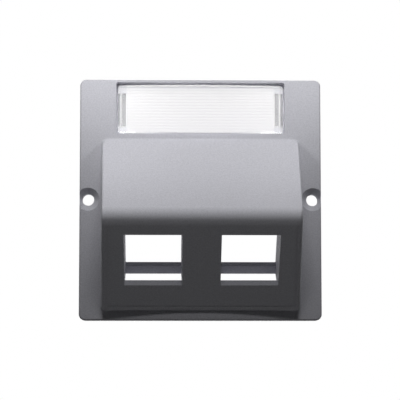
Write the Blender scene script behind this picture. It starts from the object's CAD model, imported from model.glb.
import math

import bpy
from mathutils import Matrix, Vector

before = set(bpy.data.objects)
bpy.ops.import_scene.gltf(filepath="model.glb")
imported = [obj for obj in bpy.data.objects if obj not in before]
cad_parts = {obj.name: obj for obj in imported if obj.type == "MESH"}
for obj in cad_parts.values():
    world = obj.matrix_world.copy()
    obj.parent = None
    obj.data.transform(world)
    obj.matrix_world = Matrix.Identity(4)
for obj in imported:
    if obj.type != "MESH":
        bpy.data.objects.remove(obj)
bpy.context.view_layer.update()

# ---- Faceplate -------------------------------------------------------------------------------------
# One ABS moulding: a shallow square plate with a sloping hood over two keystone openings, a pocket
# for the label, and a countersunk screw hole at each side. It is sprayed with aluminium lacquer and
# hangs on the wall by its two screws.
MM = 0.001
LACQUER_DARK = "#C1C1C8"
LACQUER_LIGHT = "#D2D2D9"
FLAKE_MM = 0.35
ORANGE_PEEL_MM = 1.6
FILM_RELIEF_MM = 0.004


def linear(hex_colour):
    """The linear colour of an sRGB hex value."""
    channels = [int(hex_colour[i:i + 2], 16) / 255 for i in (1, 3, 5)]
    return [c / 12.92 if c <= 0.04045 else ((c + 0.055) / 1.055) ** 2.4 for c in channels] + [1]


def node(tree, kind, settings=(), **inputs):
    """Adds a node with its settings, and fills each named input with a value or links it to a socket."""
    new = tree.nodes.new(kind)
    for name, value in dict(settings).items():
        setattr(new, name, value)
    for name, value in inputs.items():
        key = int(name[1:]) if name[1:].isdigit() else name.replace("_", " ")
        if isinstance(value, bpy.types.NodeSocket):
            tree.links.new(value, new.inputs[key])
        else:
            new.inputs[key].default_value = value
    return new


def blank_material(name):
    """A new material whose node tree is still empty."""
    material = bpy.data.materials.new(name)
    material.use_nodes = True
    material.node_tree.nodes.clear()
    return material


def two_tone(tree, pattern, dark, light, dark_until, light_from):
    """A colour that runs from dark to light while a pattern rises between two levels."""
    tone = node(tree, "ShaderNodeValToRGB", Fac=pattern)
    low, high = tone.color_ramp.elements
    low.position, low.color = dark_until, linear(dark)
    high.position, high.color = light_from, linear(light)
    return tone.outputs["Color"]


def dress(name, material):
    """Gives a node of the frame its only material."""
    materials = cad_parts[name].data.materials
    materials.clear()
    materials.append(material)


# Aluminium lacquer on ABS, sprayed: fine flakes make it a little lighter and darker from point to
# point. The film is a little uneven and has a matting agent in it, so its sheen is broad and weak.
# The flakes are about 0.05 mm in life and are drawn coarser so that they show.
lacquer = blank_material("aluminium lacquer, sprayed on ABS")
tree = lacquer.node_tree
place = node(tree, "ShaderNodeTexCoord").outputs["Object"]
flakes = node(tree, "ShaderNodeTexNoise", Vector=place, Scale=1 / (FLAKE_MM * MM), Detail=2.0,
              Roughness=0.6).outputs["Fac"]
peel = node(tree, "ShaderNodeTexNoise", Vector=place, Scale=1 / (ORANGE_PEEL_MM * MM),
            Detail=1.0).outputs["Fac"]
relief = node(tree, "ShaderNodeMath", {"operation": "ADD"}, _0=flakes, _1=peel)
bump = node(tree, "ShaderNodeBump", Height=relief.outputs[0], Distance=FILM_RELIEF_MM * MM,
            Strength=1.0)
coat = node(tree, "ShaderNodeBsdfPrincipled", Metallic=0.0, Roughness=0.55, IOR=1.5,
            Base_Color=two_tone(tree, flakes, LACQUER_DARK, LACQUER_LIGHT, 0.3, 0.7),
            Specular_IOR_Level=0.15, Normal=bump.outputs["Normal"])
node(tree, "ShaderNodeOutputMaterial", Surface=coat.outputs["BSDF"])
dress("faceplate", lacquer)

# ---- Label card ------------------------------------------------------------------------------------
# A slip of white card on which the two ports are named. It is cut from ruled sheet and lies on the
# floor of the pocket, behind the clear cover.
CARD_WHITE = "#E4E3E4"
CARD_RULE = "#D2D0D4"
RULE_MM = 0.8
WAVE_PHASE = 20  # the wave texture turns this many radians for each unit of its scaled position

card_stock = blank_material("ruled card, uncoated")
tree = card_stock.node_tree
place = node(tree, "ShaderNodeTexCoord").outputs["Object"]
rules = node(tree, "ShaderNodeTexWave", {"wave_type": "BANDS", "bands_direction": "Z"}, Vector=place,
             Scale=2 * math.pi / (WAVE_PHASE * RULE_MM * MM), Distortion=0.0).outputs["Fac"]
face = node(tree, "ShaderNodeBsdfPrincipled", Roughness=0.8,
            Base_Color=two_tone(tree, rules, CARD_RULE, CARD_WHITE, 0.0, 0.5))
node(tree, "ShaderNodeOutputMaterial", Surface=face.outputs["BSDF"])
dress("label_card", card_stock)

# ---- Label cover -----------------------------------------------------------------------------------
# A clear polycarbonate lens, moulded and polished, slightly crowned, with a leg at each end that
# snaps into the pocket. The label shows through it, and nearly all the light that falls on it passes.
CLEAR = "#FCFCFC"
PASSED_LIGHT = "#F6F6F6"

clear = blank_material("clear polycarbonate, polished")
tree = clear.node_tree
lens = node(tree, "ShaderNodeBsdfPrincipled", Base_Color=linear(CLEAR), Roughness=0.03, IOR=1.58,
            Transmission_Weight=0.8)
passed = node(tree, "ShaderNodeBsdfTransparent", Color=linear(PASSED_LIGHT))
ray = node(tree, "ShaderNodeLightPath")
shell = node(tree, "ShaderNodeMixShader", Fac=ray.outputs["Is Shadow Ray"], _1=lens.outputs["BSDF"],
             _2=passed.outputs["BSDF"])
node(tree, "ShaderNodeOutputMaterial", Surface=shell.outputs["Shader"])
dress("label_cover", clear)

# ---- Floor and light -------------------------------------------------------------------------------
# A plain white table well below the plate and an even white room. A soft lamp stands in front and
# above, a small one close above each side of the hood, and a large one behind.
FLOOR_Z_MM = -400
FLOOR_SIZE_MM = 3000
FLOOR_WHITE = "#EDEDED"
PURE_WHITE = (1, 1, 1, 1)
ROOM_LIGHT = 0.02
HOOD_MIDDLE_MM = (0, -8, 0)
WALL_MIDDLE_MM = (0, 0, 0)


def seen(tree):
    """1 for a ray that comes from the camera, directly or by way of gloss or clear plastic only.
    Light that a matt surface has scattered gets 0, so the white backdrop doesn't add to it."""
    path = node(tree, "ShaderNodeLightPath").outputs
    bent = node(tree, "ShaderNodeMath", {"operation": "MAXIMUM"}, _0=path["Is Glossy Ray"],
                _1=path["Is Transmission Ray"])
    unscattered = node(tree, "ShaderNodeMath", {"operation": "LESS_THAN"}, _0=path["Diffuse Depth"],
                       _1=0.5)
    clean = node(tree, "ShaderNodeMath", {"operation": "MULTIPLY"}, _0=bent.outputs[0],
                 _1=unscattered.outputs[0])
    either = node(tree, "ShaderNodeMath", {"operation": "MAXIMUM"}, _0=path["Is Camera Ray"],
                  _1=clean.outputs[0])
    return either.outputs[0]


def lamp(name, spot_mm, aim_mm, side_mm, watts):
    """A soft square lamp at one point, aimed at another."""
    data = bpy.data.lights.new(name, "AREA")
    data.shape = "SQUARE"
    data.size = side_mm * MM
    data.energy = watts
    new = bpy.data.objects.new(name, data)
    bpy.context.collection.objects.link(new)
    new.location = Vector(spot_mm) * MM
    new.rotation_euler = (Vector(aim_mm) - Vector(spot_mm)).to_track_quat("-Z", "Y").to_euler()
    new.visible_camera = False


half = FLOOR_SIZE_MM * MM / 2
floor_z = FLOOR_Z_MM * MM
floor_mesh = bpy.data.meshes.new("floor")
floor_mesh.from_pydata(
    [(-half, -half, floor_z), (half, -half, floor_z), (half, half, floor_z), (-half, half, floor_z)],
    [], [(0, 1, 2, 3)])
floor = bpy.data.objects.new("floor", floor_mesh)
bpy.context.collection.objects.link(floor)
table = blank_material("white table")
tree = table.node_tree
top = node(tree, "ShaderNodeBsdfPrincipled", Base_Color=linear(FLOOR_WHITE), Roughness=0.9,
           Emission_Color=PURE_WHITE, Emission_Strength=seen(tree))
node(tree, "ShaderNodeOutputMaterial", Surface=top.outputs["BSDF"])
floor_mesh.materials.append(table)

world = bpy.data.worlds.new("white room")
bpy.context.scene.world = world
world.use_nodes = True
tree = world.node_tree
tree.nodes.clear()
room = node(tree, "ShaderNodeBackground", Color=PURE_WHITE, Strength=ROOM_LIGHT)
backdrop = node(tree, "ShaderNodeBackground", Color=PURE_WHITE, Strength=1.0)
mixed = node(tree, "ShaderNodeMixShader", Fac=seen(tree), _1=room.outputs[0], _2=backdrop.outputs[0])
node(tree, "ShaderNodeOutputWorld", Surface=mixed.outputs[0])

lamp("front lamp", (0, -192, 118), HOOD_MIDDLE_MM, 40, 0.060)
lamp("left lamp", (-35.2, -39.5, 46), HOOD_MIDDLE_MM, 14, 0.0148)
lamp("right lamp", (35.2, -39.5, 46), HOOD_MIDDLE_MM, 14, 0.0128)
lamp("back lamp", (0, 170, 110), WALL_MIDDLE_MM, 80, 0.24)

# ---- Camera ----------------------------------------------------------------------------------------
# A long lens, a little below the plate's middle and to the left of it, which looks slightly up, so
# that the ramp, the face and the strip under the lip all show.
CAMERA_MM = 430
CAMERA_ELEVATION = -5.5
CAMERA_X_MM = -10
AIM_MM = (-0.13, -4.5, -0.17)
FRAME_MM = 106.7
SENSOR_MM = 36
NEAREST_MM = 10

camera = bpy.data.objects.new("camera", bpy.data.cameras.new("camera"))
bpy.context.collection.objects.link(camera)
camera.data.sensor_width = SENSOR_MM
camera.data.lens = SENSOR_MM * CAMERA_MM / FRAME_MM
camera.data.clip_start = NEAREST_MM * MM
tilt = math.radians(CAMERA_ELEVATION)
away = CAMERA_MM * math.cos(tilt)
camera.location = Vector((CAMERA_X_MM, AIM_MM[1] - away, CAMERA_MM * math.sin(tilt))) * MM
camera.rotation_euler = (Vector(AIM_MM) * MM - camera.location).to_track_quat("-Z", "Y").to_euler()
bpy.context.scene.camera = camera
bpy.context.scene.view_settings.view_transform = "Standard"
